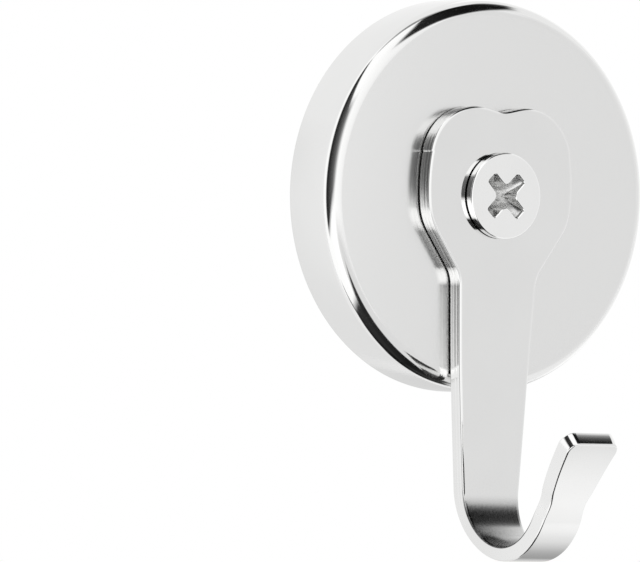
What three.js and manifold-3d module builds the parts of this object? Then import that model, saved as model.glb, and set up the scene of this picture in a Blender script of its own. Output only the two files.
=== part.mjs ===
// Magnetic hook: a pot magnet with a bent strip hook that swivels on one screw.
// Millimetres. The origin is the middle of the magnet's back face, which sits on the wall.
// +Z is up and the front faces -Y, so a point at depth d in front of the wall has y = -d.

import * as THREE from 'three';
import { mergeVertices } from 'three/addons/utils/BufferGeometryUtils.js';
import Module from 'manifold-3d';

// Steel pot
const potRadius = 18;
const potDepth = 6.3;
const potWall = 1.6;
const potFaceThickness = 1.6;
const potFrontEdgeRadius = 1.2;
const potBackEdgeRadius = 0.3;
const potCavityCornerRadius = 0.5;

// Steel core behind the screw, with a spigot staked into the pot's face
const coreRadius = 5.2;
const coreEdgeChamfer = 0.25;
const spigotRadius = 3.6;

// Ring magnet and the resin on both sides of it
const outerPottingWidth = 1.8;
const innerPottingWidth = 1.6;
const magnetEdgeChamfer = 0.3;
const magnetRecess = 0.3;
const pottingRecess = 0.15;

// Screw: M4, with a plain shoulder that the hook turns on
const threadRadius = 2;
const threadLength = 3.6;
const threadTipChamfer = 0.4;
const shoulderRadius = 2.6;
const headRadius = 3.87;
const headHeight = 0.78;
const headEdgeBevel = 0.08;

// Cross recess of the screw
const recessWings = 4;
const recessSpan = 4.7;
const recessWingWidth = 1.15;
const recessWebRadius = 0.75;
const recessWingCornerRadius = 0.25;
const recessDepth = 1.9;
const recessWaistDepthShare = 0.7;
const recessWaistShare = 0.55;
const recessEndShare = 0.15;

// Thin washer that holds the hook off the pot
const washerRadius = 5.6;
const washerThickness = 0.12;

// Sheet of the hook, which is drawn a little thinner in the bend
const sheetThickness = 1.5;
const bendThickness = 1.36;
const tipThickness = 1.38;
const sheetEdgeRadius = 0.26;

// Lobed head of the hook. Heights and the shoulder's top drop are measured from the screw.
const headHalfWidth = 8.1;
const headWidestHeight = 0.8;
const headSideRadius = 16;
const headSideDrop = 2;
const lobeSideInset = 0.15;
const lobeRadius = 5.05;
const lobeTopHeight = 8.07;
const lobeNotchDepth = 0.42;
const notchFlatShare = 0.3;
const lobeFlatShare = 0.4;
const sideStepHeight = 3.9;
const sideStepLength = 0.22;
const shoulderTopDrop = 3.45;
const shoulderTopInset = 1;
const shoulderDrop = 3.15;
const shoulderBottomOutset = 0.58;

// Tapering stem, bend and flared tip. The bend and flare are measured to the middle of the sheet.
const stemRootLength = 1.9;
const stemTopWidth = 8.6;
const upperStemLength = 8.9;
const stemMiddleWidth = 7.78;
const lowerStemLength = 9.7;
const bendStartWidth = 6.4;
const bendRadius = 5.5;
const bendSweep = THREE.MathUtils.degToRad(156);
const bendBottomWidth = 5;
const bendNeckWidth = 5;
const flareRadius = 27;
const flareSweep = THREE.MathUtils.degToRad(20);
const tipWidth = 5.65;
const tipCornerRadius = 0.8;

// Clearances
const pressClearance = 0.05;
const bondLine = 0.1;
const tappedHoleClearance = 0.6;
const runningClearance = 0.08;
const cutOverrun = 0.2;

// Fineness
const roundSegments = 72;
const screwSegments = 48;
const eyeSegments = 36;
const filletSegments = 4;
const edgeSegments = 2;
const headCurveSegments = 7;
const stemRows = 6;
const bendRows = 18;
const flareRows = 8;
const tipCornerSegments = 4;
const leastStep = 0.001;

// Radii of the ring magnet
const cavityRadius = potRadius - potWall;
const magnetRadius = cavityRadius - outerPottingWidth;
const magnetBoreRadius = coreRadius + innerPottingWidth;

// Depths in front of the wall
const cavityDepth = potDepth - potFaceThickness;
const hookBackDepth = potDepth + washerThickness + runningClearance;
const headBaseDepth = hookBackDepth + sheetThickness + runningClearance;

// Lengths along the strip, measured down from the screw
const shoulderBottom = shoulderTopDrop + shoulderDrop;
const stemTop = shoulderBottom + stemRootLength;
const stemMiddle = stemTop + upperStemLength;
const bendStart = stemMiddle + lowerStemLength;
const bendBottom = bendStart + (bendRadius * Math.PI) / 2;
const bendEnd = bendStart + bendRadius * bendSweep;
const stripEnd = bendEnd + flareRadius * flareSweep;

const plated = { color: 0xdcdcda, roughness: 0.12, metalness: 1 };
const finishes = {
  nickel: new THREE.MeshStandardMaterial(plated),
  screwNickel: new THREE.MeshStandardMaterial({ ...plated, color: 0xe4e4e2 }),
  core: new THREE.MeshStandardMaterial({ color: 0xb9bab8, roughness: 0.3, metalness: 1 }),
  ferrite: new THREE.MeshStandardMaterial({ color: 0x3a3a3c, roughness: 0.65, metalness: 0.2 }),
  resin: new THREE.MeshStandardMaterial({ color: 0x202022, roughness: 0.45, metalness: 0 }),
  nylon: new THREE.MeshStandardMaterial({ color: 0x2b2b2d, roughness: 0.5, metalness: 0 }),
};

const wasm = await Module();
wasm.setup();

function count(length) {
  return Array.from({ length }, (_, i) => i);
}

// Points of an arc in the plane, from one angle to another, both ends included.
function arc(centreX, centreY, radius, from, to, segments) {
  return count(segments + 1).map((step) => {
    const angle = THREE.MathUtils.lerp(from, to, step / segments);
    return new THREE.Vector2(centreX + radius * Math.cos(angle), centreY + radius * Math.sin(angle));
  });
}

// A turned solid. Its profile is given as (radius, depth) and runs from front to back on the outside.
function turned(profile, segments) {
  return new THREE.LatheGeometry(profile.map((point) => new THREE.Vector2(point.x, -point.y)), segments);
}

// The profile of a ring of square section with small chamfers at its four corners.
function ringProfile(innerRadius, outerRadius, backDepth, frontDepth, chamfer) {
  return closed([
    new THREE.Vector2(innerRadius + chamfer, frontDepth),
    new THREE.Vector2(outerRadius - chamfer, frontDepth),
    new THREE.Vector2(outerRadius, frontDepth - chamfer),
    new THREE.Vector2(outerRadius, backDepth + chamfer),
    new THREE.Vector2(outerRadius - chamfer, backDepth),
    new THREE.Vector2(innerRadius + chamfer, backDepth),
    new THREE.Vector2(innerRadius, backDepth + chamfer),
    new THREE.Vector2(innerRadius, frontDepth - chamfer),
  ]);
}

// The same for a ring that is too thin for chamfers.
function plainRingProfile(innerRadius, outerRadius, backDepth, frontDepth) {
  return closed([
    new THREE.Vector2(innerRadius, frontDepth),
    new THREE.Vector2(outerRadius, frontDepth),
    new THREE.Vector2(outerRadius, backDepth),
    new THREE.Vector2(innerRadius, backDepth),
  ]);
}

function closed(profile) {
  return [...profile, profile[0].clone()];
}

function toSolid(geometry) {
  const bare = geometry.clone();
  bare.deleteAttribute('normal');
  bare.deleteAttribute('uv');
  const merged = mergeVertices(bare);
  return new wasm.Manifold(new wasm.Mesh({
    numProp: 3,
    vertProperties: Float32Array.from(merged.attributes.position.array),
    triVerts: Uint32Array.from(merged.index.array),
  }));
}

function toGeometry(solid) {
  const mesh = solid.getMesh();
  const geometry = new THREE.BufferGeometry();
  geometry.setAttribute('position', new THREE.BufferAttribute(mesh.vertProperties, mesh.numProp));
  geometry.setIndex(new THREE.BufferAttribute(mesh.triVerts, 1));
  geometry.computeVertexNormals();
  return geometry;
}

function indexedGeometry(vertices, triangles) {
  const geometry = new THREE.BufferGeometry();
  const positions = vertices.flatMap((vertex) => vertex.toArray());
  geometry.setAttribute('position', new THREE.Float32BufferAttribute(positions, 3));
  geometry.setIndex(triangles.flat());
  geometry.computeVertexNormals();
  return geometry;
}

// The band of triangles between two closed rings of vertices.
function wallBetween(front, back, length) {
  return count(length).flatMap((i) => {
    const next = (i + 1) % length;
    return [[front + i, back + next, back + i], [front + i, front + next, back + next]];
  });
}

// Pot: a drawn cup, open towards the wall, with a hole for the core's spigot.
function potGeometry() {
  const holeRadius = spigotRadius + pressClearance;
  const quarter = Math.PI / 2;
  const frontEdge = arc(potRadius - potFrontEdgeRadius, potDepth - potFrontEdgeRadius,
    potFrontEdgeRadius, quarter, 0, filletSegments);
  const backEdge = arc(potRadius - potBackEdgeRadius, potBackEdgeRadius,
    potBackEdgeRadius, 0, -quarter, edgeSegments);
  const cavityCorner = arc(cavityRadius - potCavityCornerRadius, cavityDepth - potCavityCornerRadius,
    potCavityCornerRadius, 0, quarter, edgeSegments);
  return turned(closed([
    new THREE.Vector2(holeRadius, potDepth),
    ...frontEdge,
    ...backEdge,
    new THREE.Vector2(cavityRadius, 0),
    ...cavityCorner,
    new THREE.Vector2(holeRadius, cavityDepth),
  ]), roundSegments);
}

// Core: solid at the back, tapped from the front.
function coreGeometry() {
  const holeRadius = threadRadius + pressClearance;
  const holeEnd = potDepth - threadLength - tappedHoleClearance;
  return turned([
    new THREE.Vector2(0, holeEnd),
    new THREE.Vector2(holeRadius, holeEnd),
    new THREE.Vector2(holeRadius, potDepth),
    new THREE.Vector2(spigotRadius, potDepth),
    new THREE.Vector2(spigotRadius, cavityDepth),
    new THREE.Vector2(coreRadius, cavityDepth),
    new THREE.Vector2(coreRadius, coreEdgeChamfer),
    new THREE.Vector2(coreRadius - coreEdgeChamfer, 0),
    new THREE.Vector2(0, 0),
  ], roundSegments);
}

// Magnet: a ring bonded to the inside of the pot's face.
function magnetGeometry() {
  return turned(ringProfile(magnetBoreRadius, magnetRadius, magnetRecess, cavityDepth - bondLine,
    magnetEdgeChamfer), roundSegments);
}

// Resin ring between magnet and pot. Its front corner clears the pot's rounded inner corner.
function outerPottingGeometry() {
  return turned(plainRingProfile(magnetRadius + pressClearance, cavityRadius - pressClearance,
    pottingRecess, cavityDepth - potCavityCornerRadius), roundSegments);
}

// Resin ring between magnet and core.
function innerPottingGeometry() {
  return turned(plainRingProfile(coreRadius + pressClearance, magnetBoreRadius - pressClearance,
    pottingRecess, cavityDepth - bondLine), roundSegments);
}

function washerGeometry() {
  return turned(plainRingProfile(shoulderRadius + runningClearance, washerRadius,
    potDepth, potDepth + washerThickness), screwSegments);
}

// The recess seen from the front: wings on the diagonals, joined by hollow webs.
function recessOutline() {
  const reach = recessSpan / 2;
  const half = recessWingWidth / 2;
  const corner = recessWingCornerRadius;
  const halfPitch = Math.PI / recessWings;
  const root = half / Math.tan(halfPitch) + recessWebRadius;
  const centre = new THREE.Vector2();
  const web = new THREE.Vector2(half / Math.sin(halfPitch), 0);
  const shape = new THREE.Path();
  shape.moveTo(reach, corner - half);
  count(recessWings).forEach((wing) => {
    const turn = wing * 2 * halfPitch;
    const at = (x, y) => new THREE.Vector2(x, y).rotateAround(centre, turn);
    const next = (x, y) => at(x, y).rotateAround(centre, 2 * halfPitch);
    const draw = (method, ...points) => shape[method](...points.flatMap((point) => point.toArray()));
    draw('lineTo', at(reach, half - corner));
    draw('quadraticCurveTo', at(reach, half), at(reach - corner, half));
    draw('lineTo', at(root, half));
    draw('quadraticCurveTo', web.clone().rotateAround(centre, turn + halfPitch), next(root, -half));
    draw('lineTo', next(reach - corner, -half));
    draw('quadraticCurveTo', next(reach, -half), next(reach, corner - half));
  });
  const points = shape.getPoints(filletSegments).slice(1).reverse();
  return points.map((point) => point.rotateAround(centre, halfPitch));
}

// The solid that cuts the recess. It narrows as it goes in, and ends in a blunt cone.
function recessCutter(faceDepth) {
  const outline = recessOutline();
  const levels = [
    { depth: faceDepth + cutOverrun, share: 1 },
    { depth: faceDepth, share: 1 },
    { depth: faceDepth - recessDepth * recessWaistDepthShare, share: recessWaistShare },
    { depth: faceDepth - recessDepth, share: recessEndShare },
  ];
  const vertices = levels.flatMap((level) => outline.map(
    (point) => new THREE.Vector3(point.x * level.share, -level.depth, point.y * level.share)));
  const cap = THREE.ShapeUtils.triangulateShape(outline, []);
  const last = (levels.length - 1) * outline.length;
  const triangles = [
    ...cap,
    ...cap.map(([a, b, c]) => [last + a, last + c, last + b]),
    ...count(levels.length - 1).flatMap((ring) => wallBetween(
      ring * outline.length, (ring + 1) * outline.length, outline.length)),
  ];
  return toSolid(indexedGeometry(vertices, triangles));
}

// Screw: thread, shoulder and thin flat head, less the recess.
function screwGeometry() {
  const faceDepth = headBaseDepth + headHeight;
  const tipDepth = potDepth - threadLength;
  const body = turned([
    new THREE.Vector2(0, faceDepth),
    new THREE.Vector2(headRadius - headEdgeBevel, faceDepth),
    new THREE.Vector2(headRadius, faceDepth - headEdgeBevel),
    new THREE.Vector2(headRadius, headBaseDepth),
    new THREE.Vector2(shoulderRadius, headBaseDepth),
    new THREE.Vector2(shoulderRadius, potDepth),
    new THREE.Vector2(threadRadius, potDepth),
    new THREE.Vector2(threadRadius, tipDepth + threadTipChamfer),
    new THREE.Vector2(threadRadius - threadTipChamfer, tipDepth),
    new THREE.Vector2(0, tipDepth),
  ], screwSegments);
  return toGeometry(toSolid(body).subtract(recessCutter(faceDepth)));
}

// Right half of the flat head, from the notch on top down to the stem, as (half width, height).
function headHalfOutline() {
  const lobeOffset = headHalfWidth - lobeSideInset - lobeRadius;
  const lobeCentreHeight = lobeTopHeight - lobeRadius;
  const lobeEnd = Math.asin((sideStepHeight - lobeCentreHeight) / lobeRadius);
  const sideCentre = headHalfWidth - headSideRadius;
  const sideTop = Math.asin((sideStepHeight - sideStepLength - headWidestHeight) / headSideRadius);
  const sideBottom = -Math.asin(headSideDrop / headSideRadius);
  const sideEndHalfWidth = sideCentre + headSideRadius * Math.cos(sideBottom);
  const sideEndHeight = headWidestHeight - headSideDrop;
  const stemHalfWidth = stemTopWidth / 2;
  const shoulderTopHalfWidth = headHalfWidth - shoulderTopInset;
  const shoulderBottomHalfWidth = stemHalfWidth + shoulderBottomOutset;

  // The side and the shoulder are drawn on until they meet in the corner between them.
  const sideSlope = Math.tan(-sideBottom);
  const shoulderSlope = (shoulderTopHalfWidth - shoulderBottomHalfWidth) / shoulderDrop;
  const cornerHeight = (sideEndHalfWidth - sideSlope * sideEndHeight - shoulderTopHalfWidth
    - shoulderSlope * shoulderTopDrop) / (shoulderSlope - sideSlope);
  const cornerHalfWidth = shoulderTopHalfWidth + shoulderSlope * (cornerHeight + shoulderTopDrop);

  // So are the shoulder and the side of the stem.
  const rootHeight = -shoulderBottom - shoulderBottomOutset / shoulderSlope;

  const notchHeight = lobeTopHeight - lobeNotchDepth;
  const half = new THREE.Path();
  half.moveTo(0, notchHeight);
  half.bezierCurveTo(lobeOffset * notchFlatShare, notchHeight,
    lobeOffset * (1 - lobeFlatShare), lobeTopHeight, lobeOffset, lobeTopHeight);
  half.absarc(lobeOffset, lobeCentreHeight, lobeRadius, Math.PI / 2, lobeEnd, true);
  half.absarc(sideCentre, headWidestHeight, headSideRadius, sideTop, sideBottom, true);
  half.quadraticCurveTo(cornerHalfWidth, cornerHeight, shoulderTopHalfWidth, -shoulderTopDrop);
  half.lineTo(shoulderBottomHalfWidth, -shoulderBottom);
  half.quadraticCurveTo(stemHalfWidth, rootHeight, stemHalfWidth, -stemTop);
  return half.getPoints(headCurveSegments)
    .filter((point, i, points) => i === 0 || point.distanceTo(points[i - 1]) > leastStep);
}

// Right half of the stem, bend and flare laid flat, as (half width, length along the strip).
function stripHalfOutline() {
  const lengths = [stemTop, stemMiddle, bendStart, bendBottom, bendEnd, stripEnd];
  const widths = [stemTopWidth, stemMiddleWidth, bendStartWidth, bendBottomWidth, bendNeckWidth, tipWidth];
  const width = new THREE.CubicInterpolant(lengths, widths, 1);
  const cornerStart = stripEnd - tipCornerRadius;
  const spans = [
    [stemTop, bendStart, stemRows],
    [bendStart, bendEnd, bendRows],
    [bendEnd, cornerStart, flareRows],
  ];
  const rows = spans.flatMap(([from, to, steps]) => count(steps).map((step) => {
    const length = THREE.MathUtils.lerp(from, to, (step + 1) / steps);
    return new THREE.Vector2(width.evaluate(length)[0] / 2, length);
  }));
  const corner = arc(rows.at(-1).x - tipCornerRadius, cornerStart, tipCornerRadius,
    0, Math.PI / 2, tipCornerSegments);
  return [...rows, ...corner.slice(1)];
}

function thicknessAt(length) {
  const thinned = THREE.MathUtils.smoothstep(length, bendStart, bendBottom);
  const thickened = THREE.MathUtils.smoothstep(length, bendEnd, stripEnd);
  const bent = THREE.MathUtils.lerp(sheetThickness, bendThickness, thinned);
  return THREE.MathUtils.lerp(bent, tipThickness, thickened);
}

// Where a point of the strip lies once it is bent. The height above the middle of the sheet is
// towards the front, and the back of the flat head is at y = 0.
function bentPoint(x, length, above) {
  const middle = -sheetThickness / 2;
  if (length <= bendStart) {
    return new THREE.Vector3(x, middle - above, -length);
  }
  const bent = Math.min((length - bendStart) / bendRadius, bendSweep);
  const unbent = Math.max(length - bendEnd, 0) / flareRadius;
  const normalAt = (angle) => new THREE.Vector3(0, -Math.cos(angle), Math.sin(angle));
  return new THREE.Vector3(0, middle - bendRadius, -bendStart)
    .addScaledVector(normalAt(bent), -bendRadius)
    .addScaledVector(normalAt(bent), -flareRadius)
    .addScaledVector(normalAt(bent - unbent), flareRadius + above)
    .setX(x);
}

// A closed loop of points, clockwise when seen with length upwards, moved in from its outline.
function insetLoop(loop, inset) {
  return loop.map((point, i) => {
    const before = loop.at(i - 1);
    const after = loop[(i + 1) % loop.length];
    const along = after.clone().sub(before).normalize();
    return point.clone().addScaledVector(new THREE.Vector2(-along.y, along.x), inset);
  });
}

// The rounded edge of the sheet, from its front face round to its back face: how far each level
// lies in from the outline, and how far below the face on its side.
function edgeLevels() {
  const front = arc(sheetEdgeRadius, sheetEdgeRadius, sheetEdgeRadius, -Math.PI / 2, -Math.PI, edgeSegments)
    .map(({ x, y }) => ({ side: 1, inset: x, drop: y }));
  return [...front, ...front.map((level) => ({ ...level, side: -1 })).reverse()];
}

// Hook: the flat blank with rounded edges and an eye, bent along the strip.
function hookGeometry() {
  const head = headHalfOutline().map((point) => new THREE.Vector2(point.x, -point.y));
  const half = [...head, ...stripHalfOutline()];
  const mirrored = half.slice(1).reverse().map((point) => new THREE.Vector2(-point.x, point.y));
  const outline = [...half, ...mirrored];
  const eye = arc(0, 0, shoulderRadius + runningClearance, Math.PI * 2, 0, eyeSegments).slice(1);
  const levels = edgeLevels();
  const vertices = [];
  const triangles = [];

  // Adds the edge along a loop, and returns where the vertices of its two faces start.
  const addEdge = (loop) => {
    const starts = levels.map(({ side, inset, drop }) => {
      const start = vertices.length;
      insetLoop(loop, inset).forEach(({ x, y }) => {
        vertices.push(bentPoint(x, y, side * (thicknessAt(y) / 2 - drop)));
      });
      return start;
    });
    starts.slice(1).forEach((start, level) => {
      triangles.push(...wallBetween(starts[level], start, loop.length));
    });
    return [starts[0], starts.at(-1)];
  };
  const outlineStarts = addEdge(outline);
  const eyeStarts = addEdge(eye);

  // The flat head with its eye is one face on each side, and the strip is a row of quads.
  const mirrorOf = (i) => outline.length - i;
  const headEnd = head.length - 1;
  const headLoop = [
    ...count(headEnd).map((i) => mirrorOf(headEnd - i)),
    ...count(headEnd + 1),
  ];
  const faceOutline = insetLoop(outline, sheetEdgeRadius);
  const faceEye = insetLoop(eye, sheetEdgeRadius);
  const headFaces = THREE.ShapeUtils.triangulateShape(headLoop.map((i) => faceOutline[i]), [faceEye]);
  outlineStarts.forEach((outlineStart, side) => {
    const facing = ([a, b, c]) => (side === 0 ? [a, c, b] : [a, b, c]);
    const vertexOf = (i) => (i < headLoop.length
      ? outlineStart + headLoop[i]
      : eyeStarts[side] + i - headLoop.length);
    headFaces.forEach((face) => triangles.push(facing(face.map(vertexOf))));
    count(half.length - 1).slice(headEnd).forEach((i) => {
      const [a, b, c, d] = [i, i + 1, mirrorOf(i + 1), mirrorOf(i)].map((k) => outlineStart + k);
      triangles.push(facing([a, b, c]), facing([a, c, d]));
    });
  });
  return indexedGeometry(vertices, triangles);
}

function piece(name, geometry, material) {
  const mesh = new THREE.Mesh(geometry, material);
  mesh.name = name;
  return mesh;
}

const magnetBase = new THREE.Group();
magnetBase.add(
  piece('magnet_cup', potGeometry(), finishes.nickel),
  piece('pole_core', coreGeometry(), finishes.core),
  piece('ring_magnet', magnetGeometry(), finishes.ferrite),
  piece('outer_potting', outerPottingGeometry(), finishes.resin),
  piece('inner_potting', innerPottingGeometry(), finishes.resin),
  piece('glide_washer', washerGeometry(), finishes.nylon),
  piece('pivot_screw', screwGeometry(), finishes.screwNickel),
);

const swivel = new THREE.Group();
swivel.position.y = -hookBackDepth;
swivel.add(piece('swivel_hook', hookGeometry(), finishes.nickel));

const hookAssembly = new THREE.Group();
hookAssembly.add(magnetBase, swivel);

export default hookAssembly;
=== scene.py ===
"""Magnetic hook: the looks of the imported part, in metres and in the part's own frame.

The front faces -Y and +Z is up, so a point at depth d in front of the wall has y = -d.
Shapes are drawn in millimetres, and each mesh is made in metres.
"""

import math

import bpy
from mathutils import Matrix, Vector
from mathutils.geometry import tessellate_polygon

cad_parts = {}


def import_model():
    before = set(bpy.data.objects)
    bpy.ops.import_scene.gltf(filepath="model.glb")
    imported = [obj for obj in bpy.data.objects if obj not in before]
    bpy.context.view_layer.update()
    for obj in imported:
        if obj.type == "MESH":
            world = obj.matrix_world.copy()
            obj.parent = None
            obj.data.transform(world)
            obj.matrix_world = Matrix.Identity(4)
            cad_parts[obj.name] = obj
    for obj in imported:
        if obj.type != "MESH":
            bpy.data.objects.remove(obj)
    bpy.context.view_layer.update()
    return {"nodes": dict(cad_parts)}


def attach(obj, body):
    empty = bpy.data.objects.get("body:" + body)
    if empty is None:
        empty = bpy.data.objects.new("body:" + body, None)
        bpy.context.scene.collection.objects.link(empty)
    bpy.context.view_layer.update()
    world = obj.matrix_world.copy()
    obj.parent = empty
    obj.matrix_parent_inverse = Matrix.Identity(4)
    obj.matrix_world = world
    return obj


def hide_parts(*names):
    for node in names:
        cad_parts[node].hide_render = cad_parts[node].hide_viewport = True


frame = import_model()

MM = 0.001
QUARTER = math.pi / 2
# Points of an outline closer than MERGE_GAP are drawn as one. Within NEAR, two places are the same.
MERGE_GAP = 1e-3
NEAR = 1e-6

# Sizes, in millimetres

# The angle at which an edge of strip or screw goes over from its wide radius to its tight one.
EDGE_ANGLE = math.radians(20)

POT_RADIUS = 18.0
POT_DEPTH = 6.3
POT_FRONT_EDGE = 1.2
POT_EDGE_BLEND = 1.95
POT_BLEND_ANGLE = math.radians(65)
POT_WALL_TILT = math.radians(5)
POT_CROWN = math.radians(1.7)
POT_CROWN_STEPS = 4
POT_BACK_EDGE = 0.3
POT_HOLE_RADIUS = 3.65
CAVITY_RADIUS = 16.4
CAVITY_DEPTH = 4.7
CAVITY_CORNER = 0.5
POT_STEPS = 288
POT_EDGE_BLEND_STEPS = 8
POT_FRONT_EDGE_STEPS = 12
POT_BACK_EDGE_STEPS = 6
CAVITY_CORNER_STEPS = 5

HOOK_BACK = 6.5
SHEET = 1.5
SHEET_IN_BEND = 1.335
SHEET_AT_TIP = 1.38
SHEET_EDGE_WIDE = 0.75
SHEET_EDGE_TIGHT = 0.1
SHEET_EDGE_STEPS = 5
SHEET_BACK_EDGE = 0.14
BEND_BACK_EDGE = 0.15
BACK_EDGE_STEPS = 8
BEND_TAPER = 0.26
LEAN_START = 3.9
STEM_LEAN = 0.2
TIP_LEAN = -0.15
EYE_RADIUS = 2.68
EYE_STEPS = 96
# Faint lines that the shears leave along the side, as (share of the side from its front, tilt in
# degrees). They fade out over the first part of the bend.
SIDE_LINES = ((0.04, 0), (0.13, 6), (0.2, 0), (0.28, -5), (0.36, 0), (0.47, 5), (0.56, 0), (0.65, -5),
              (0.76, 2), (0.87, -5), (0.95, 0))
SIDE_LINES_FADE = 3

HEAD_HALF_WIDTH = 8.1
HEAD_WIDEST_HEIGHT = 0.8
HEAD_SIDE_RADIUS = 16.0
HEAD_SIDE_DROP = 2.0
LOBE_OFFSET = 2.9
LOBE_RADIUS = 5.05
LOBE_TOP_HEIGHT = 8.07
LOBE_NOTCH_DEPTH = 0.42
NOTCH_FLAT_SHARE = 0.3
LOBE_FLAT_SHARE = 0.4
SIDE_STEP_HEIGHT = 3.9
SIDE_STEP_LENGTH = 0.22
SIDE_NOTCH = (7.8, 3.8)
SHOULDER_TOP = (7.1, -3.45)
SHOULDER_BOTTOM = (4.88, -6.6)
SHOULDER_STEPS = 4
HEAD_STEPS = 14

STEM_TOP = 8.5
STEM_MIDDLE = 17.4
BEND_START = 26.78
STEM_TOP_WIDTH = 8.6
STEM_MIDDLE_WIDTH = 7.62
BEND_START_WIDTH = 6.4
BEND_RADIUS = 5.74
BEND_SWEEP = math.radians(156)
BEND_BOTTOM_WIDTH = 5.05
BEND_END_WIDTH = 4.95
NECK_LENGTH = 1.7
NECK_WIDTH = 4.68
FLARE_ROOT_LENGTH = 3.0
FLARE_ROOT_WIDTH = 5.2
FLARE_RADIUS = 28.5
FLARE_SWEEP = math.radians(17.9)
TIP_WIDTH = 6.45
TIP_CORNER = 1.3
TIP_SLANTS = math.tan(math.radians(3.2)), math.tan(math.radians(18))
BEND_BOTTOM = BEND_START + BEND_RADIUS * QUARTER
BEND_END = BEND_START + BEND_RADIUS * BEND_SWEEP
STRIP_END = BEND_END + FLARE_RADIUS * FLARE_SWEEP
STEM_ROWS = 24
BEND_ROWS = 72
FLARE_ROWS = 44
TIP_CORNER_STEPS = 10
# The inside of the bend turns dull and dark with painted shade, and bright again, over these lengths.
# Its right side is less dull and less shaded by the first share, and by the second one too where the
# lighter patch of painted shade is.
SATIN_AND_SHADE_RISE = (BEND_START + 0.5, BEND_START + 2.7)
SATIN_AND_SHADE_FALL = (BEND_END - 2, BEND_END + 1)
PATCH_RISE = (BEND_START + 3, BEND_START + 4.4)
PATCH_FALL = (BEND_START + 5.6, BEND_START + 7)
RIGHT_SHARE = 0.16
PATCH_SHARE = 0.55

THREAD_RADIUS = 2.0
THREAD_TIP = 2.7
THREAD_CHAMFER = 0.4
SHOULDER_RADIUS = 2.6
SCREW_RADIUS = 3.93
SCREW_BASE = 8.17
SCREW_FACE = 8.86
SCREW_EDGE_WIDE = 0.22
SCREW_EDGE_TIGHT = 0.14
SCREW_EDGE_STEPS = 4
SCREW_STEPS = 192
RECESS_SPAN = 4.7
RECESS_WING_WIDTH = 1.15
RECESS_WEB = 0.75
RECESS_WING_CORNER = 0.25
RECESS_EDGE = 0.11
RECESS_EDGE_STEPS = 4
RECESS_CORNER_STEPS = 6
RECESS_END_STEPS = 4
RECESS_END_DEPTH = 0.2
RECESS_FLOOR_SLOPE = 1.2
RECESS_CORE_DEPTH = 0.3
RECESS_CORE = (0.4, 1.0)
RECESS_WALL_LEAN = 0.05
RECESS_SLOPE_STEP = 0.01
RECESS_DRAFT_SHARE = 0.97
# The floor of the recess is satin, and the screw's darker satin tone paints shade into it.
RECESS_SATIN_AND_SHADE = 0.65
RECESS_FLOOR_SHARES = (0.9, 0.83, 0.76, 0.69, 0.62, 0.55, 0.48, 0.41, 0.34, 0.27, 0.2, 0.12)


# Drawing

def lerp(a, b, t):
    return a + (b - a) * t


def smoothstep(x, low, high):
    t = min(1.0, max(0.0, (x - low) / (high - low)))
    return t * t * (3 - 2 * t)


def arc(centre, radius, start, end, steps):
    """Points of an arc, both ends included."""
    angles = [lerp(start, end, i / steps) for i in range(steps + 1)]
    return [(centre[0] + radius * math.cos(a), centre[1] + radius * math.sin(a)) for a in angles]


def blended(wide, tight, angle, steps):
    """A rounded edge in two radii, from the face to the side.

    Each point is (angle from the face's normal, inset, drop)."""
    inset = (wide - tight) * math.sin(angle)
    last_drop = wide - (wide - tight) * math.cos(angle)
    found = []
    for i in range(steps + 1):
        a = angle * i / steps
        found.append((a, tight + inset - wide * math.sin(a), wide * (1 - math.cos(a))))
    for i in range(1, 2 * steps + 1):
        a = lerp(angle, QUARTER, i / (2 * steps))
        found.append((a, tight * (1 - math.sin(a)), last_drop - tight * math.cos(a)))
    return found


def curve(points, steps):
    """Points of a Bezier curve of any degree, both ends included."""
    found = []
    for i in range(steps + 1):
        row = [Vector(p) for p in points]
        while len(row) > 1:
            row = [a.lerp(b, i / steps) for a, b in zip(row, row[1:])]
        found.append(tuple(row[0]))
    return found


def outward_of(loop):
    """The way out at each point of a closed flat loop."""
    outward = []
    for i in range(len(loop)):
        along = (Vector(loop[(i + 1) % len(loop)]) - Vector(loop[i - 1])).normalized()
        outward.append(Vector((along.y, -along.x)))
    return outward


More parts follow.
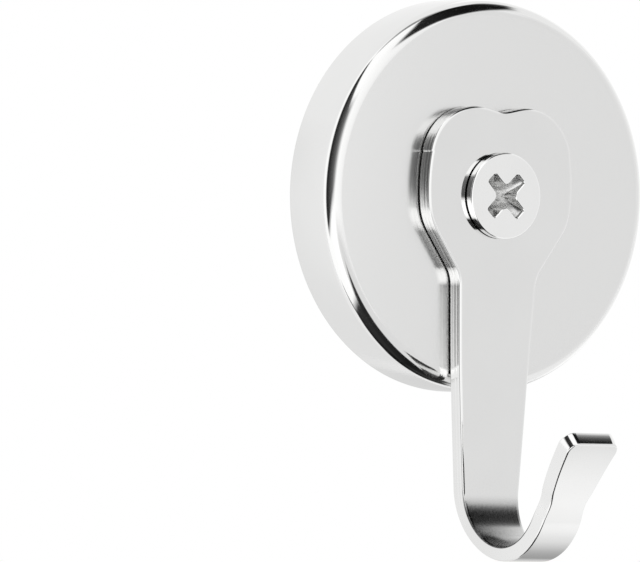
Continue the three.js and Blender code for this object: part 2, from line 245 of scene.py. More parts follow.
class Skin:
    """Vertices, and faces with a normal at each of their corners."""

    def __init__(self):
        self.vertices, self.faces, self.normals, self.satin = [], [], [], []

    def add(self, points, satin=0.0):
        """Adds vertices and returns their numbers. Their finish is bright at satin 0 and dull at 1, and
        at 1 the plate takes its satin tone, which is painted shade on the hook and in the screw's
        recess.
        """
        start = len(self.vertices)
        self.vertices.extend(Vector(p) for p in points)
        self.satin.extend([satin] * len(points))
        return list(range(start, len(self.vertices)))

    def face(self, corners, normals):
        """A face whose corners run so that it faces where its normals point."""
        a, b, c = (self.vertices[i] for i in corners[:3])
        if (b - a).cross(c - b).dot(sum((Vector(n) for n in normals), Vector())) < 0:
            corners, normals = corners[::-1], normals[::-1]
        self.faces.append(tuple(corners))
        self.normals.extend(Vector(n).normalized() for n in normals)

    def band(self, one, two, one_normals, two_normals):
        """Faces between two closed loops of the same length, of which one may be a single point."""
        for i in range(len(one)):
            j = (i + 1) % len(one)
            corners = {one[i]: one_normals[i], one[j]: one_normals[j],
                       two[j]: two_normals[j], two[i]: two_normals[i]}
            self.face(list(corners), list(corners.values()))

    def cap(self, loops, normal):
        """Flat triangles inside the first loop and outside the others."""
        where = [i for loop in loops for i in loop]
        for triangle in tessellate_polygon([[self.vertices[i] for i in loop] for loop in loops]):
            self.face([where[i] for i in triangle], [normal] * 3)

    def turn(self, runs, steps):
        """Turns runs of (radius, depth, normal out, normal forward, satin if any) round the axis.

        Neighbouring runs share a loop of vertices, and so do the last run and the first if they meet.
        Returns the first loop and the last."""
        angles = [2 * math.pi * i / steps for i in range(steps)]
        start = runs[0][0][:2]
        first, last = None, None
        for run in runs:
            for k, (radius, depth, out, forward, *satin) in enumerate(run):
                normals = [(out * math.cos(a), -forward, out * math.sin(a)) for a in angles]
                if k or last is None:
                    if first and math.dist(start, (radius, depth)) < NEAR:
                        loop = first
                    elif radius < NEAR:
                        loop = self.add([(0, -depth, 0)]) * steps
                    else:
                        around = [(radius * math.cos(a), -depth, radius * math.sin(a))
                                  for a in angles]
                        loop = self.add(around, *satin)
                    first = first or loop
                if k:
                    self.band(last, loop, before, normals)
                last, before = loop, normals
        return first, last


def line(a, b):
    """A straight run of a turned profile that goes clockwise, from front to back on the outside."""
    along = (Vector(b) - Vector(a)).normalized()
    return [(*p, -along.y, along.x) for p in (a, b)]


def rounded(centre, radius, start, end, steps, side=1):
    """A rounded run of a turned profile. Side is -1 in a hollow corner."""
    points = arc(centre, radius, start, end, steps)
    return [(x, y, side * (x - centre[0]) / radius, side * (y - centre[1]) / radius) for x, y in points]


def piece(name, skin, body, slot, material, *nodes):
    """A smooth mesh in metres that rides on a body and stands for CAD nodes."""
    mesh = bpy.data.meshes.new(name)
    mesh.from_pydata([v * MM for v in skin.vertices], [], skin.faces)
    mesh.polygons.foreach_set("use_smooth", [True] * len(mesh.polygons))
    mesh.normals_split_custom_set(skin.normals)
    # The satin attribute sets the finish, and on the hook and in the screw's recess it also paints
    # shade through the satin tone.
    mesh.attributes.new("satin", "FLOAT", "POINT").data.foreach_set("value", skin.satin)
    mesh.materials.append(material)
    obj = bpy.data.objects.new(name, mesh)
    bpy.context.scene.collection.objects.link(obj)
    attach(obj, body)
    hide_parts(*nodes)


# Materials

class Nodes:
    """A short way to wire up a procedural material."""

    def __init__(self, name):
        self.material = bpy.data.materials.new(name)
        self.material.use_nodes = True
        self.tree = self.material.node_tree
        self.shader = self.tree.nodes["Principled BSDF"]
        self.place = self.tree.nodes.new("ShaderNodeTexCoord").outputs["Object"]

    def add(self, kind, settings=None, **inputs):
        node = self.tree.nodes.new("ShaderNode" + kind)
        for key, value in (settings or {}).items():
            setattr(node, key, value)
        for key, value in inputs.items():
            self.set(node, key.replace("_", " "), value)
        return node

    def set(self, node, key, value):
        if isinstance(value, bpy.types.NodeSocket):
            self.tree.links.new(value, node.inputs[key])
        else:
            node.inputs[key].default_value = value

    def noise(self, scale, detail):
        return self.add("TexNoise", Vector=self.place, Scale=scale, Detail=detail).outputs["Fac"]

    def span(self, value, low, high, start=0.3, end=0.7):
        """A value from 0 to 1 set between low and high."""
        return self.add("MapRange", Value=value, From_Min=start, From_Max=end,
                        To_Min=low, To_Max=high).outputs["Result"]

    def blend(self, value, one, two):
        mix = self.add("Mix", {"data_type": "RGBA"})
        for socket, given in zip((mix.inputs[0], mix.inputs[6], mix.inputs[7]), (value, one, two)):
            if isinstance(given, bpy.types.NodeSocket):
                self.tree.links.new(given, socket)
            else:
                socket.default_value = (*given, 1)
        return mix.outputs[2]

    def bump(self, height, strength, distance):
        return self.add("Bump", Strength=strength, Distance=distance, Height=height).outputs["Normal"]


# Each noise is (scale, detail). The gloss bounds the roughness.
GLOSS_NOISE = (700, 4)
RIPPLE_NOISE = (4200, 3)
CLOUD_NOISE = (160, 3)
PLATE_GLOSS = (0.06, 0.09)
# Where the ripple is low, only this share of the satin's tone shows, painted shade included.
RIPPLE_SHADE = 0.86

SPECK_DETAIL = 5
SPECK_SPAN = (0.35, 0.65)
DULL_GLOSS_SCALE = 0.4
DULL_GLOSS_DETAIL = 3
DULL_GRAIN_STRENGTH = 0.5


def nickel(name, light, dark, satin_and_shade_tone, satin, grain):
    """Bright nickel plate, with a faint cloud in colour and gloss.

    Where the mesh is satin, the plate has the satin's roughness and a grain so many
    millimetres deep, and takes the satin's tone, which is painted shade where it is darker than the
    plate."""
    n = Nodes(name)
    finish = n.add("Attribute", {"attribute_name": "satin"}).outputs["Fac"]
    gloss = n.span(n.noise(*GLOSS_NOISE), *PLATE_GLOSS)
    ripple = n.noise(*RIPPLE_NOISE)
    n.set(n.shader, "Metallic", 1.0)
    cloud = n.blend(n.span(n.noise(*CLOUD_NOISE), 0, 1), light, dark)
    toned = n.span(finish, 0, n.span(ripple, RIPPLE_SHADE, 1), 0, 1)
    # The satin's tone is painted shade inside the hook's bend and in the screw's recess.
    n.set(n.shader, "Base Color", n.blend(toned, cloud, satin_and_shade_tone))
    n.set(n.shader, "Roughness", n.span(finish, gloss, satin, 0, 1))
    n.set(n.shader, "Normal", n.bump(n.span(finish, 0, ripple, 0, 1), 1.0, grain * MM))
    return n.material


def dull(name, light, dark, low, high, scale, depth, metallic=0.0):
    """A ground, sintered or moulded surface, with specks in colour and gloss and a grain.

    Low and high bound its roughness, and depth is that of the grain in metres."""
    n = Nodes(name)
    specks = n.noise(scale, SPECK_DETAIL)
    n.set(n.shader, "Metallic", metallic)
    n.set(n.shader, "Base Color", n.blend(n.span(specks, 0, 1, *SPECK_SPAN), light, dark))
    gloss = n.noise(scale * DULL_GLOSS_SCALE, DULL_GLOSS_DETAIL)
    n.set(n.shader, "Roughness", n.span(gloss, low, high))
    n.set(n.shader, "Normal", n.bump(specks, DULL_GRAIN_STRENGTH, depth))
    return n.material


CUP_PLATE = nickel("nickel_on_pot", light=(0.82, 0.82, 0.815), dark=(0.8, 0.8, 0.795),
                   satin_and_shade_tone=(0.81, 0.81, 0.805), satin=0.2, grain=0.0002)
# The hook's satin tone is nearly black: painted shade inside the bend.
HOOK_PLATE = nickel("nickel_on_hook", light=(0.83, 0.83, 0.825), dark=(0.81, 0.81, 0.805),
                    satin_and_shade_tone=(0.05, 0.05, 0.05), satin=0.22, grain=0.004)
# The screw's satin tone is darker than its plate: painted shade in the recess.
SCREW_PLATE = nickel("nickel_on_screw", light=(0.92, 0.92, 0.915), dark=(0.9, 0.9, 0.895),
                     satin_and_shade_tone=(0.7, 0.7, 0.695), satin=0.3, grain=0.0)


# Pot

def pot():
    """The drawn cup. Its front edge is rounded in two radii, the larger one next to the face."""
    blend = Vector((math.cos(POT_BLEND_ANGLE), math.sin(POT_BLEND_ANGLE)))
    wide = Vector((POT_RADIUS - POT_FRONT_EDGE, POT_DEPTH - POT_EDGE_BLEND))
    wide.x -= (POT_EDGE_BLEND - POT_FRONT_EDGE) * blend.x
    tight = wide + (POT_EDGE_BLEND - POT_FRONT_EDGE) * blend
    shares = [i / POT_CROWN_STEPS for i in range(POT_CROWN_STEPS + 1)]
    crown = [(lerp(POT_HOLE_RADIUS, wide.x, share), POT_DEPTH, math.sin(POT_CROWN * share),
              math.cos(POT_CROWN * share), 1.0) for share in shares]
    corner = (CAVITY_RADIUS - CAVITY_CORNER, CAVITY_DEPTH - CAVITY_CORNER)
    skin = Skin()
    skin.turn([
        crown,
        rounded(wide, POT_EDGE_BLEND, QUARTER - POT_CROWN, POT_BLEND_ANGLE, POT_EDGE_BLEND_STEPS),
        rounded(tight, POT_FRONT_EDGE, POT_BLEND_ANGLE, POT_WALL_TILT, POT_FRONT_EDGE_STEPS),
        [(POT_RADIUS, tight.y, math.cos(POT_WALL_TILT), math.sin(POT_WALL_TILT)),
         (POT_RADIUS, POT_BACK_EDGE, 1, 0)],
        rounded((POT_RADIUS - POT_BACK_EDGE, POT_BACK_EDGE), POT_BACK_EDGE, 0, -QUARTER,
                POT_BACK_EDGE_STEPS),
        line((POT_RADIUS - POT_BACK_EDGE, 0), (CAVITY_RADIUS, 0)),
        line((CAVITY_RADIUS, 0), (CAVITY_RADIUS, corner[1])),
        rounded(corner, CAVITY_CORNER, 0, QUARTER, CAVITY_CORNER_STEPS, -1),
        line((corner[0], CAVITY_DEPTH), (POT_HOLE_RADIUS, CAVITY_DEPTH)),
        line((POT_HOLE_RADIUS, CAVITY_DEPTH), (POT_HOLE_RADIUS, POT_DEPTH)),
    ], POT_STEPS)
    piece("pot_shell", skin, "magnet_base", "plated_cup", CUP_PLATE, "magnet_cup")


# Hook

def head_half():
    """Right half of the flat head from the notch on top down to the stem, as (half width, height)."""
    lobe_height = LOBE_TOP_HEIGHT - LOBE_RADIUS
    lobe_end = math.asin((SIDE_STEP_HEIGHT - lobe_height) / LOBE_RADIUS)
    side_centre = HEAD_HALF_WIDTH - HEAD_SIDE_RADIUS
    side_top = math.asin((SIDE_STEP_HEIGHT - SIDE_STEP_LENGTH - HEAD_WIDEST_HEIGHT) / HEAD_SIDE_RADIUS)
    side_bottom = -math.asin(HEAD_SIDE_DROP / HEAD_SIDE_RADIUS)
    side_end = (side_centre + HEAD_SIDE_RADIUS * math.cos(side_bottom),
                HEAD_WIDEST_HEIGHT - HEAD_SIDE_DROP)
    side_slope = math.tan(-side_bottom)
    shoulder_slope = (SHOULDER_TOP[0] - SHOULDER_BOTTOM[0]) / (SHOULDER_TOP[1] - SHOULDER_BOTTOM[1])
    corner_height = (side_end[0] - side_slope * side_end[1] - SHOULDER_TOP[0]
                     + shoulder_slope * SHOULDER_TOP[1]) / (shoulder_slope - side_slope)
    corner = (SHOULDER_TOP[0] + shoulder_slope * (corner_height - SHOULDER_TOP[1]), corner_height)
    half_stem = STEM_TOP_WIDTH / 2
    root = (half_stem, SHOULDER_BOTTOM[1] - (SHOULDER_BOTTOM[0] - half_stem) / shoulder_slope)
    notch = LOBE_TOP_HEIGHT - LOBE_NOTCH_DEPTH
    points = [
        *curve([(0, notch), (LOBE_OFFSET * NOTCH_FLAT_SHARE, notch),
                (LOBE_OFFSET * (1 - LOBE_FLAT_SHARE), LOBE_TOP_HEIGHT),
                (LOBE_OFFSET, LOBE_TOP_HEIGHT)], HEAD_STEPS),
        *arc((LOBE_OFFSET, lobe_height), LOBE_RADIUS, QUARTER, lobe_end, 2 * HEAD_STEPS),
        SIDE_NOTCH,
        *arc((side_centre, HEAD_WIDEST_HEIGHT), HEAD_SIDE_RADIUS, side_top, side_bottom, HEAD_STEPS),
        *curve([side_end, corner, SHOULDER_TOP], HEAD_STEPS),
        *curve([SHOULDER_TOP, SHOULDER_BOTTOM], SHOULDER_STEPS),
        *curve([SHOULDER_BOTTOM, root, (half_stem, -STEM_TOP)], HEAD_STEPS),
    ]
    return [p for i, p in enumerate(points) if i == 0 or math.dist(p, points[i - 1]) > MERGE_GAP]


def strip_width(length):
    """Width of the strip, on a smooth curve through the named widths."""
    at = [STEM_TOP, STEM_MIDDLE, BEND_START, BEND_BOTTOM, BEND_END,
          BEND_END + NECK_LENGTH, BEND_END + FLARE_ROOT_LENGTH, STRIP_END]
    width = [STEM_TOP_WIDTH, STEM_MIDDLE_WIDTH, BEND_START_WIDTH, BEND_BOTTOM_WIDTH, BEND_END_WIDTH,
             NECK_WIDTH, FLARE_ROOT_WIDTH, TIP_WIDTH]
    k = max(i for i in range(len(at) - 1) if i == 0 or length > at[i])
    before = k - 1 if k else k + 1
    after = k + 2 if k + 2 < len(at) else k
    half = (at[k + 1] - at[k]) / 2
    w_before = half / (at[k] - at[before])
    w_after = half / (at[after] - at[k + 1])
    s = (length - at[k]) / (at[k + 1] - at[k])
    return (width[before] * w_before * (-s ** 3 + 2 * s ** 2 - s)
            + width[k] * ((1 + w_before) * s ** 3 + (-1.5 - 2 * w_before) * s ** 2
                          + (w_before - 0.5) * s + 1)
            + width[k + 1] * ((-1 - w_after) * s ** 3 + (1.5 + w_after) * s ** 2 + 0.5 * s)
            + width[after] * w_after * (s ** 3 - s ** 2))


def strip_half():
    """Right half of the stem, bend and flare laid flat, as (half width, length along the strip)."""
    corner_start = STRIP_END - TIP_CORNER
    spans = [(STEM_TOP, BEND_START, STEM_ROWS), (BEND_START, BEND_END, BEND_ROWS),
             (BEND_END, corner_start, FLARE_ROWS)]
    lengths = [lerp(start, end, (i + 1) / rows) for start, end, rows in spans for i in range(rows)]
    rows = [(strip_width(length) / 2, length) for length in lengths]
    corner = arc((rows[-1][0] - TIP_CORNER, corner_start), TIP_CORNER, 0, QUARTER, TIP_CORNER_STEPS)
    return rows + corner[1:]


def thickness_at(length):
    """The bend thins the sheet a little."""
    bent = lerp(SHEET, SHEET_IN_BEND, smoothstep(length, BEND_START, BEND_BOTTOM))
    return lerp(bent, SHEET_AT_TIP, smoothstep(length, BEND_END, STRIP_END))


def strip_frame(length):
    """The middle of the bent strip, the way along it and the way to its front, each as (y, z)."""
    middle = -HOOK_BACK - SHEET / 2
    if length <= BEND_START:
        return Vector((middle, -length)), Vector((0, -1)), Vector((-1, 0))
    bent = min((length - BEND_START) / BEND_RADIUS, BEND_SWEEP)
    turn = bent - max(length - BEND_END, 0) / FLARE_RADIUS
    at_bent, at_turn = (Vector((-math.cos(a), math.sin(a))) for a in (bent, turn))
    centre = Vector((middle - BEND_RADIUS, -BEND_START))
    return (centre - (BEND_RADIUS + FLARE_RADIUS) * at_bent + FLARE_RADIUS * at_turn,
            Vector((-math.sin(turn), -math.cos(turn))), at_turn)


def lean_at(length):
    """How far the strip stands to the left. The stem leans a little, and the bend brings it back."""
    return (smoothstep(length, LEAN_START, STEM_MIDDLE)
            * lerp(STEM_LEAN, TIP_LEAN, smoothstep(length, BEND_BOTTOM, STRIP_END)))


def bend_satin_and_shade(length, right):
    """The bending tool dulls the inside of the bend, and painted shade darkens it; both are less on the
    right, and least in a patch.
    """
    patch = smoothstep(length, *PATCH_RISE) * (1 - smoothstep(length, *PATCH_FALL))
    return (smoothstep(length, *SATIN_AND_SHADE_RISE) * (1 - right * (RIGHT_SHARE + PATCH_SHARE * patch))
            * (1 - smoothstep(length, *SATIN_AND_SHADE_FALL)))


def taper_at(length, end, share):
    """How far the strip narrows from its front to its back, for each millimetre of its thickness.

    The bend stretches its back. The end of the tip, where end is 1, is sheared at a slant that grows
    with the share of the thickness."""
    bent = BEND_TAPER * smoothstep(length, BEND_START, BEND_BOTTOM)
    return lerp(bent, lerp(*TIP_SLANTS, share), max(end, 0) ** 2) if length > BEND_END else bent


def hook():
    """The flat blank with rounded edges and an eye, bent along the strip."""
    skin = Skin()
    head = [(x, -height) for x, height in head_half()]
    half = head + strip_half()
    outline = half + [(-x, y) for x, y in half[:0:-1]]
    eye = arc((0, 0), EYE_RADIUS, 2 * math.pi, 0, EYE_STEPS)[1:]
    front_edge = blended(SHEET_EDGE_WIDE, SHEET_EDGE_TIGHT, EDGE_ANGLE, SHEET_EDGE_STEPS)
    levels = [(1, a, inset, drop) for a, inset, drop in front_edge]
    levels += [(0, QUARTER, share, math.radians(tilt)) for share, tilt in SIDE_LINES]
    levels += [(-1, QUARTER * i / BACK_EDGE_STEPS, 0, 0) for i in range(BACK_EDGE_STEPS, -1, -1)]

    def ring(loop, outward, level):
        """One loop round the edge, with its normals.

        Level is (1, angle, inset, drop) on the front's edge, (0, angle, share of the side, tilt) on the
        side, and (-1, angle, 0, 0) on the back's edge."""
        side, a, inset, drop = level
        points, normals, satin = [], [], []
        for (x, length), away in zip(loop, outward):
            middle, along, front = strip_frame(length)
            sheet = thickness_at(length)
            out, up = math.sin(a), side * math.cos(a)
            bent = smoothstep(length, BEND_START, BEND_BOTTOM)
            back_edge = lerp(SHEET_BACK_EDGE, BEND_BACK_EDGE, bent)
            if side == 1:
                depth, narrow = drop, inset
            elif side == 0:
                depth, narrow = lerp(front_edge[-1][2], sheet - back_edge, inset), 0
                tilt = drop * (1 - smoothstep(length, BEND_START, BEND_START + SIDE_LINES_FADE))
                out, up = math.cos(tilt), math.sin(tilt)
            else:
                depth, narrow = sheet - back_edge * (1 - math.cos(a)), back_edge * (1 - math.sin(a))
            narrow += taper_at(length, away.y, depth / sheet / 2) * depth
            up -= taper_at(length, away.y, depth / sheet) * out
            y, z = middle + front * (sheet / 2 - depth) - along * away.y * narrow
            points.append((x - away.x * narrow - lean_at(length), y, z))
            ny, nz = along * away.y * out + front * up
            normals.append((away.x * out, ny, nz))
            # The satin on the inside of the bend also paints shade there, through the hook's dark satin
            # tone.
            satin.append(bend_satin_and_shade(length, x > 0) if side == 1 else 0.0)
        loop = skin.add(points)
        for i, share in zip(loop, satin):
            skin.satin[i] = share
        return loop, normals

    def edge(loop):
        """Adds the rounded edge along a loop, and returns its first and last loops of vertices."""
        outward = outward_of(loop)
        rings = [ring(loop, outward, level) for level in levels]
        for (one, one_normals), (two, two_normals) in zip(rings, rings[1:]):
            skin.band(one, two, one_normals, two_normals)
        return rings[0], rings[-1]

    sides = zip(edge(outline), edge(eye))
    last = len(head) - 1
    size = len(outline)
    for (rim, rim_normals), (hole, _) in sides:
        skin.cap([[rim[(i - last) % size] for i in range(2 * last + 1)], hole], rim_normals[0])
        for i in range(last, len(half) - 1):
            # The last one, at the end of the tip, has its middle corner twice.
            quad = list(dict.fromkeys([i, i + 1, (size - i - 1) % size, (size - i) % size]))
            skin.face([rim[k] for k in quad], [rim_normals[k] for k in quad])
    piece("bent_hook", skin, "hook_strip", "plated_hook", HOOK_PLATE, "swivel_hook")


# Screw

def recess_outline():
    """The cross recess seen from the front: wings on the diagonals, joined by hollow webs."""
    reach = RECESS_SPAN / 2
    half = RECESS_WING_WIDTH / 2
    corner = RECESS_WING_CORNER
    root = half + RECESS_WEB
    steps = RECESS_CORNER_STEPS
    wing = [*curve([(reach, corner - half), (reach, 0), (reach, half - corner)], RECESS_END_STEPS),
            *curve([(reach, half - corner), (reach, half), (reach - corner, half)], steps)[1:],
            *curve([(root, half), (half, half), (half, root)], 2 * steps),
            *curve([(half, reach - corner), (half, reach), (half - corner, reach)], steps)[:-1]]
    points = []
    for i in range(4):
        a = QUARTER * (i + 0.5)
        across, up = math.cos(a), math.sin(a)
        points += [(x * across - y * up, x * up + y * across) for x, y in wing]
    return points


def recess_depth(radius):
    """The floor of each wing falls towards the middle, and steeper in the middle."""
    core = 1 - smoothstep(radius, *RECESS_CORE)
    return RECESS_END_DEPTH + RECESS_FLOOR_SLOPE * (RECESS_SPAN / 2 - radius) + RECESS_CORE_DEPTH * core


def recess_slope(radius):
    """How fast the floor falls towards the middle."""
    inner, outer = radius - RECESS_SLOPE_STEP, radius + RECESS_SLOPE_STEP
    return (recess_depth(inner) - recess_depth(outer)) / (2 * RECESS_SLOPE_STEP)


def screw():
    """The turned screw, with the edge, walls and floor of its recess."""
    skin = Skin()
    rim = blended(SCREW_EDGE_WIDE, SCREW_EDGE_TIGHT, EDGE_ANGLE, SCREW_EDGE_STEPS)
    edge = [(SCREW_RADIUS - inset, SCREW_FACE - drop, math.sin(a), math.cos(a))
            for a, inset, drop in rim]
    thread_end = THREAD_RADIUS - THREAD_CHAMFER
    chamfer_top = THREAD_TIP + THREAD_CHAMFER
    first, _ = skin.turn([
        edge,
        line(edge[-1][:2], (SCREW_RADIUS, SCREW_BASE)),
        line((SCREW_RADIUS, SCREW_BASE), (SHOULDER_RADIUS, SCREW_BASE)),
        line((SHOULDER_RADIUS, SCREW_BASE), (SHOULDER_RADIUS, POT_DEPTH)),
        line((SHOULDER_RADIUS, POT_DEPTH), (THREAD_RADIUS, POT_DEPTH)),
        line((THREAD_RADIUS, POT_DEPTH), (THREAD_RADIUS, chamfer_top)),
        line((THREAD_RADIUS, chamfer_top), (thread_end, THREAD_TIP)),
        line((thread_end, THREAD_TIP), (0, THREAD_TIP)),
    ], SCREW_STEPS)
    outline = recess_outline()
    away = outward_of(outline)
    front = Vector((0, -1, 0))

    rings = []
    for i in range(RECESS_EDGE_STEPS + 1):
        a = QUARTER * i / RECESS_EDGE_STEPS
        grow, drop = RECESS_EDGE * (1 - math.sin(a)), RECESS_EDGE * (1 - math.cos(a))
        points = [(x + d.x * grow, drop - SCREW_FACE, z + d.y * grow)
                  for (x, z), d in zip(outline, away)]
        normals = [(-d.x * math.sin(a), -math.cos(a), -d.y * math.sin(a)) for d in away]
        rings.append((skin.add(points), normals))
    skin.cap([first, rings[0][0]], front)
    wall = [(-d.x, -RECESS_WALL_LEAN, -d.y) for d in away]
    for share in (RECESS_DRAFT_SHARE, *RECESS_FLOOR_SHARES):
        points, normals = [], []
        for x, z in outline:
            reach = math.hypot(x, z)
            slope = recess_slope(reach * share)
            points.append((x * share, recess_depth(reach * share) - SCREW_FACE, z * share))
            normals.append((-slope * x / reach, -1, -slope * z / reach))
        # The floor's satin paints shade into the recess.
        loop = skin.add(points, RECESS_SATIN_AND_SHADE)
        if share == RECESS_DRAFT_SHARE:
            rings.append((loop, wall))
        rings.append((loop, normals))
    for (one, one_normals), (two, two_normals) in zip(rings, rings[1:]):
        if one is not two:
            skin.band(one, two, one_normals, two_normals)
    skin.cap([rings[-1][0]], front)
    piece("cross_screw", skin, "magnet_base", "plated_screw", SCREW_PLATE, "pivot_screw")


pot()
hook()
screw()


# Nodes that the scene keeps from the frame

RESIN = {"light": (0.012, 0.012, 0.013), "dark": (0.02, 0.02, 0.021),
         "low": 0.2, "high": 0.34, "scale": 500, "depth": 0.00002}
KEPT_NODES = {
    "pole_core": dull("ground_core", light=(0.62, 0.62, 0.61), dark=(0.5, 0.5, 0.49),
                      low=0.22, high=0.36, scale=900, depth=0.00001, metallic=1.0),
    "ring_magnet": dull("sintered_ferrite", light=(0.045, 0.045, 0.047), dark=(0.026, 0.026, 0.028),
                        low=0.5, high=0.75, scale=1500, depth=0.00003),
    "outer_potting": dull("resin_outside", **RESIN),
    "inner_potting": dull("resin_inside", **RESIN),
    "glide_washer": dull("nylon", light=(0.03, 0.03, 0.031), dark=(0.022, 0.022, 0.023),
                         low=0.4, high=0.55, scale=900, depth=0.00001),
}
for node, material in KEPT_NODES.items():
    obj = frame["nodes"][node]
    obj.data.materials.clear()
    obj.data.materials.append(material)


# Camera, floor and light

# Turn to the left of the front, tilt and roll are in degrees. Distance and clipping are in metres, and
# lens and sensor in millimetres. So is how far the part's origin lies from the middle of the view.
CAMERA_TURN = 35.081
CAMERA_TILT = -0.437
CAMERA_ROLL = -1.551
CAMERA_DISTANCE = 0.8
CAMERA_LENS = 489.35
SENSOR_WIDTH = 36
CLIP_START = 0.01
CLIP_END = 100
ORIGIN_RIGHT = 11.883
ORIGIN_UP = 7.833

# In metres.
FLOOR_HEIGHT = -1.5
FLOOR_REACH = 30


def camera():
    """A long lens at the photograph's viewing angle."""
    turn, tilt, roll = (math.radians(a) for a in (CAMERA_TURN, CAMERA_TILT, CAMERA_ROLL))
    level = Matrix(((math.cos(turn), -math.sin(turn), 0), (0, 0, 1),
                    (-math.sin(turn), -math.cos(turn), 0)))
    axes = Matrix.Rotation(roll, 3, "Z") @ Matrix.Rotation(tilt, 3, "X") @ level
    made = bpy.data.objects.new("camera", bpy.data.cameras.new("camera"))
    made.data.sensor_width = SENSOR_WIDTH
    made.data.lens = CAMERA_LENS
    made.data.clip_start, made.data.clip_end = CLIP_START, CLIP_END
    place = axes.transposed() @ Vector((-ORIGIN_RIGHT * MM, -ORIGIN_UP * MM, CAMERA_DISTANCE))
    made.matrix_world = Matrix.Translation(place) @ axes.transposed().to_4x4()
    bpy.context.scene.collection.objects.link(made)
    bpy.context.scene.camera = made


def seen(tree):
    """1 where a ray comes from the camera or a reflection, and else 0."""
    path = tree.nodes.new("ShaderNodeLightPath").outputs
    total = path["Is Camera Ray"]
    for name in ("Is Glossy Ray", "Is Transmission Ray"):
        add = tree.nodes.new("ShaderNodeMath")
        add.operation, add.use_clamp = "ADD", True
        tree.links.new(total, add.inputs[0])
        tree.links.new(path[name], add.inputs[1])
        total = add.outputs[0]
    return total


def world():
    """Plain white light from all round."""
    made = bpy.data.worlds.new("studio")
    made.use_nodes = True
    background = made.node_tree.nodes["Background"]
    background.inputs["Color"].default_value = (1, 1, 1, 1)
    background.inputs["Strength"].default_value = 1.0
    bpy.context.scene.world = made
    bpy.context.scene.view_settings.view_transform = "Standard"


def paper():
    """White floor: paper that keeps the shadow, and is as bright as the background where it is seen."""
    made = bpy.data.materials.new("white_paper")
    made.use_nodes = True
    shader = made.node_tree.nodes["Principled BSDF"]
    shader.inputs["Base Color"].default_value = (0.8, 0.8, 0.8, 1)
    shader.inputs["Roughness"].default_value = 0.9
    shader.inputs["Emission Color"].default_value = (0.2, 0.2, 0.2, 1)
    made.node_tree.links.new(seen(made.node_tree), shader.inputs["Emission Strength"])
    return made


def floor():
    """A wide level sheet far below the part, which isn't part of the object."""
    mesh = bpy.data.meshes.new("floor")
    corners = [(x * FLOOR_REACH, y * FLOOR_REACH, 0) for x, y in ((-1, -1), (1, -1), (1, 1), (-1, 1))]
    mesh.from_pydata(corners, [], [(0, 1, 2, 3)])
    mesh.materials.append(paper())
    obj = bpy.data.objects.new("floor", mesh)
    obj.matrix_world = Matrix.Translation((0, 0, FLOOR_HEIGHT))
    bpy.context.scene.collection.objects.link(obj)


# The cards of the studio are drawn in columns so many degrees apart at most, of so many rows.
CARD_STEP = 4
CARD_ROWS = 20


def heading(turn, height):
    """The direction at so many degrees to the right of the front, and above the level."""
    turn, height = math.radians(turn), math.radians(height)
    level = math.cos(height)
    return Vector((level * math.sin(turn), -level * math.cos(turn), math.sin(height)))


def studio_card(name, columns, feather, distance):
    """A card of the studio that the plating reflects, at a distance in metres.

    Each column is (turn, lowest height, highest height, brightness, cover), with angles in degrees. The
    edges above and below fade out over as many degrees as feather says."""
    fine = []
    for one, two in zip(columns, columns[1:]):
        steps = max(1, math.ceil((two[0] - one[0]) / CARD_STEP))
        fine += [[lerp(p, q, i / steps) for p, q in zip(one, two)] for i in range(steps)]
    fine.append(columns[-1])
    vertices, levels, covers = [], [], []
    for turn, low, high, level, cover in fine:
        inside = [lerp(low, high, i / CARD_ROWS) for i in range(CARD_ROWS + 1)]
        for height in (max(low - feather, -90), *inside, min(high + feather, 90)):
            vertices.append(heading(turn, height) * distance)
            levels.append(level)
            covers.append(cover if low <= height <= high else 0)
    row = CARD_ROWS + 3
    faces = [(row * i + k, row * i + k + 1, row * (i + 1) + k + 1, row * (i + 1) + k)
             for i in range(len(fine) - 1) for k in range(row - 1)]
    mesh = bpy.data.meshes.new(name)
    mesh.from_pydata(vertices, [], faces)
    for attribute, values in (("level", levels), ("cover", covers)):
        mesh.attributes.new(attribute, "FLOAT", "POINT").data.foreach_set("value", values)
    mesh.materials.append(CARD)
    obj = bpy.data.objects.new(name, mesh)
    bpy.context.scene.collection.objects.link(obj)
    obj.visible_camera = obj.visible_diffuse = obj.visible_shadow = obj.visible_transmission = False


def card_material():
    """Glows at the mesh's level where its cover is 1, and lets all through where it is 0."""
    made = bpy.data.materials.new("studio_card")
    made.use_nodes = True
    tree = made.node_tree
    tree.nodes.clear()
    level, cover = (tree.nodes.new("ShaderNodeAttribute") for _ in range(2))
    level.attribute_name, cover.attribute_name = "level", "cover"
    glow = tree.nodes.new("ShaderNodeEmission")
    clear = tree.nodes.new("ShaderNodeBsdfTransparent")
    mix = tree.nodes.new("ShaderNodeMixShader")
    out = tree.nodes.new("ShaderNodeOutputMaterial")
    tree.links.new(level.outputs["Fac"], glow.inputs["Strength"])
    tree.links.new(cover.outputs["Fac"], mix.inputs[0])
    tree.links.new(clear.outputs[0], mix.inputs[1])
    tree.links.new(glow.outputs[0], mix.inputs[2])
    tree.links.new(mix.outputs[0], out.inputs["Surface"])
    return made


CARD = card_material()

camera()
world()
floor()

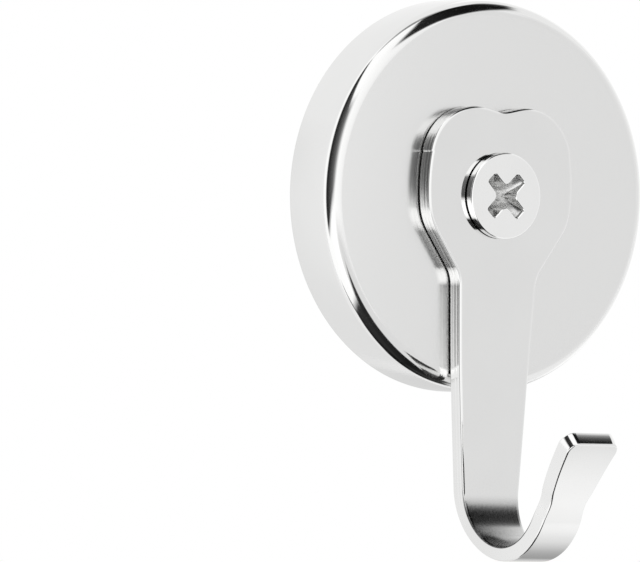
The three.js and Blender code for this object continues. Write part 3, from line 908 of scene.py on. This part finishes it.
# The bright cards stand behind the dark ones, apart from the one below.
studio_card("card_bright_front", [
    (-112, -48, 80, 1.1, 0), (-103, -48, 80, 1.18, 1), (-88, -48, 80, 1.22, 1), (-60, -51, 80, 1.22, 1),
    (-30, -42, 80, 1.24, 1), (-14, -26, 80, 1.24, 1), (0, -6, 80, 1.2, 1), (22, -2, 80, 1.12, 1),
    (31, 0, 80, 1.04, 1), (34, 4, 80, 1.0, 0)], feather=5, distance=1.2)
studio_card("card_bright_low", [
    (-48, -30, -14, 1.4, 0), (-40, -30, -13, 1.5, 1), (-26, -30, -12, 1.5, 1),
    (-17, -26, -12, 1.4, 0)], feather=4, distance=1.1)
studio_card("card_bright_right", [
    (72, -14, 22, 1.0, 0), (84, -20, 28, 1.04, 1), (100, -28, 40, 1.14, 1), (125, -22, 50, 1.2, 1),
    (140, -14, 50, 1.2, 1), (146, -10, 40, 1.1, 0)], feather=12, distance=1.2)
studio_card("card_bright_below", [
    (30, -50, -35, 1.0, 0), (40, -56, -33, 1.02, 1), (47, -58, -33, 1.04, 1), (52, -59, -34, 1.1, 1),
    (60, -60, -36, 1.06, 1), (75, -62, -40, 0.94, 1), (88, -64, -42, 0.87, 1), (98, -64, -44, 0.77, 1),
    (108, -62, -42, 0.67, 1), (118, -60, -36, 0.54, 1), (128, -54, -30, 0.44, 1),
    (136, -46, -24, 0.38, 1), (142, -40, -22, 0.5, 0)], feather=4, distance=0.97)
studio_card("card_grey_front", [
    (-20, -30, -18, 0.86, 0), (-8, -34, -10, 0.85, 1), (6, -40, -9, 0.85, 1), (20, -46, -8, 0.86, 1),
    (30, -40, -6, 0.86, 1), (32, -36, 10, 0.86, 1), (34, -32, 20, 0.86, 1), (38, -26, 20, 0.87, 1),
    (50, -22, 20, 0.88, 1), (64, -20, 18, 0.91, 1), (78, -18, 14, 0.97, 0)], feather=7, distance=1.1)
studio_card("card_dark_above", [
    (9, 36, 58, 0.02, 0), (15, 31, 64, 0.02, 1), (24, 25, 72, 0.015, 1), (33, 21, 74, 0.008, 1),
    (38, 26, 74, 0.008, 1), (46, 33, 70, 0.008, 1), (54, 38, 66, 0.01, 1), (60, 43, 62, 0.02, 1),
    (68, 46, 59, 0.12, 1), (75, 48, 58, 0.35, 1), (83, 50, 56, 0.7, 0)], feather=4, distance=1.0)
studio_card("card_grey_back", [
    (104, -54, -44, 0.9, 0), (120, -52, -34, 0.84, 1), (128, -48, -20, 0.78, 1),
    (136, -42, -4, 0.72, 1), (146, -34, 0, 0.74, 1), (158, -30, 2, 0.82, 1),
    (170, -28, 2, 0.88, 0)], feather=8, distance=1.0)
studio_card("card_pale_back", [
    (150, -52, 14, 0.9, 0), (168, -52, 14, 0.88, 1), (195, -52, 14, 0.9, 1), (210, -50, 14, 0.93, 1),
    (225, -48, 14, 0.99, 1), (240, -45, 14, 1.0, 1), (252, -40, 14, 1.04, 0)], feather=12, distance=1.3)
studio_card("card_dark_left", [
    (-86, -14, 60, 0.03, 0), (-78, -16, 62, 0.03, 1), (-70, -14, 62, 0.02, 1), (-60, -11, 56, 0.04, 1),
    (-45, -5, 42, 0.08, 1), (-30, 0, 29, 0.14, 1), (-15, 3, 23, 0.4, 1),
    (-2, 6, 20, 0.8, 0)], feather=6, distance=1.0)
studio_card("card_grey_top", [
    (-90, 74, 82, 0.6, 0), (-70, 70, 84, 0.6, 1), (-40, 76, 86, 0.35, 1), (-10, 77, 86, 0.3, 1),
    (20, 74, 86, 0.3, 1), (50, 72, 84, 0.6, 1), (80, 74, 82, 0.8, 0)], feather=4, distance=1.0)
studio_card("card_dark_below", [
    (-180, -90, -68, 0.01, 1), (-150, -90, -73, 0.01, 1), (-120, -90, -70, 0.01, 1),
    (-96, -90, -62, 0.01, 1), (-92, -90, -46, 0.02, 1), (-88, -90, -46, 0.02, 1),
    (-84, -90, -59, 0.02, 1), (-60, -90, -55, 0.03, 1), (-40, -90, -48, 0.03, 1),
    (-20, -90, -38, 0.03, 1), (-10, -90, -28, 0.02, 1), (-4, -90, -19, 0.02, 1), (0, -90, -17, 0.02, 1),
    (5, -90, -27, 0.015, 1), (13, -90, -42, 0.012, 1), (22, -90, -58, 0.015, 1),
    (60, -90, -72, 0.02, 1), (100, -90, -70, 0.04, 1), (120, -90, -65, 0.04, 1),
    (150, -90, -62, 0.02, 1), (180, -90, -68, 0.01, 1)], feather=5, distance=1.0)
